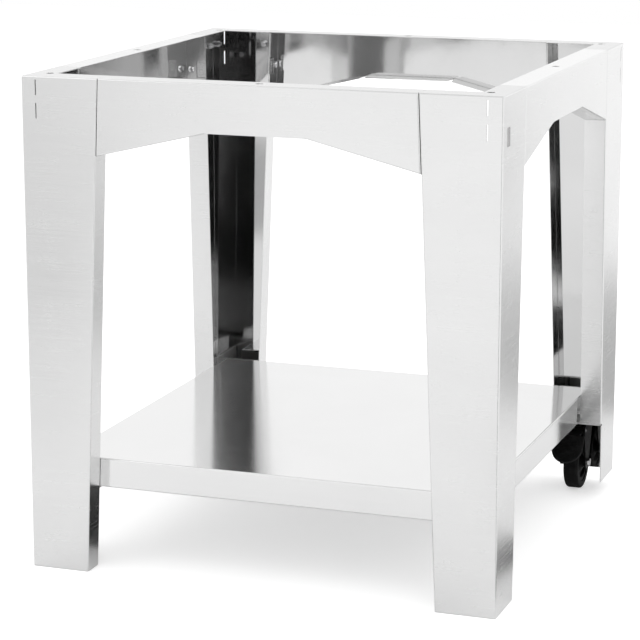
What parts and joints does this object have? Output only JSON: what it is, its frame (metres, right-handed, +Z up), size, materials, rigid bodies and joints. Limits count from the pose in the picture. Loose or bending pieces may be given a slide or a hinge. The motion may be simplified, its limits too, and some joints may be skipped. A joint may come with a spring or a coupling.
{
  "type": "pizza oven table",
  "caption": "Open table for an outdoor pizza oven: tapered folded steel legs, arched aprons, a tray shelf and braked swivel casters under the rear legs.",
  "frame": {"origin": "on the floor under the middle of the stand", "axes": "+X to the right, +Y to the back, +Z up"},
  "size_m": [0.808, 0.824, 0.83],
  "materials": {
    "frame_steel": "fine brushed outside, near mirror inside",
    "shelf_steel": "fine brushed",
    "bracket_steel": "satin",
    "fixing_steel": "bright",
    "caster_steel": "satin black",
    "caster_plastic": "satin black",
    "tyre_rubber": "matt black",
    "shoe_rubber": "matt black"
  },
  "bodies": {
    "stand": {"front_left_leg": "frame_steel", "front_right_leg": "frame_steel", "rear_left_leg": "frame_steel", "rear_right_leg": "frame_steel", "front_apron": "frame_steel", "back_apron": "frame_steel", "left_apron": "frame_steel", "right_apron": "frame_steel", "shelf": "shelf_steel", "front_left_bracket": "bracket_steel", "front_right_bracket": "bracket_steel", "rear_left_bracket": "bracket_steel", "rear_right_bracket": "bracket_steel", "apron_screws": "fixing_steel", "apron_nuts": "fixing_steel", "leg_studs": "fixing_steel", "leg_stud_nuts": "fixing_steel", "caster_bolts": "fixing_steel", "caster_bolt_nuts": "fixing_steel", "left_caster_plate": "caster_steel", "left_ball_race": "fixing_steel", "left_kingpin": "fixing_steel", "right_caster_plate": "caster_steel", "right_ball_race": "fixing_steel", "right_kingpin": "fixing_steel"},
    "left_swivel": {"left_fork": "caster_steel", "left_axle_bolt": "fixing_steel", "left_axle_nut": "fixing_steel", "left_brake_pin": "fixing_steel"},
    "left_wheel": {"left_wheel_core": "caster_plastic", "left_tyre": "tyre_rubber"},
    "left_pedal": {"left_brake_pedal": "caster_plastic", "left_brake_shoe": "shoe_rubber"},
    "right_swivel": {"right_fork": "caster_steel", "right_axle_bolt": "fixing_steel", "right_axle_nut": "fixing_steel", "right_brake_pin": "fixing_steel"},
    "right_wheel": {"right_wheel_core": "caster_plastic", "right_tyre": "tyre_rubber"},
    "right_pedal": {"right_brake_pedal": "caster_plastic", "right_brake_shoe": "shoe_rubber"}
  },
  "joints": [
    {"name": "left_caster_swivel", "type": "hinge", "parent": "stand", "child": "left_swivel", "pos_m": [-0.347, 0.373, 0.128], "axis": [0, 0, 1], "range_deg": [-16, 100]},
    {"name": "left_wheel_spin", "type": "hinge", "parent": "left_swivel", "child": "left_wheel", "pos_m": [-0.347, 0.355, 0.05], "axis": [1, 0, 0], "continuous": true},
    {"name": "left_brake", "type": "hinge", "parent": "left_swivel", "child": "left_pedal", "pos_m": [-0.347, 0.34, 0.114], "axis": [1, 0, 0], "range_deg": [0, 10]},
    {"name": "right_caster_swivel", "type": "hinge", "parent": "stand", "child": "right_swivel", "pos_m": [0.347, 0.373, 0.128], "axis": [0, 0, 1], "range_deg": [-100, 16]},
    {"name": "right_wheel_spin", "type": "hinge", "parent": "right_swivel", "child": "right_wheel", "pos_m": [0.347, 0.355, 0.05], "axis": [1, 0, 0], "continuous": true},
    {"name": "right_brake", "type": "hinge", "parent": "right_swivel", "child": "right_pedal", "pos_m": [0.347, 0.34, 0.114], "axis": [1, 0, 0], "range_deg": [0, 10]}
  ]
}
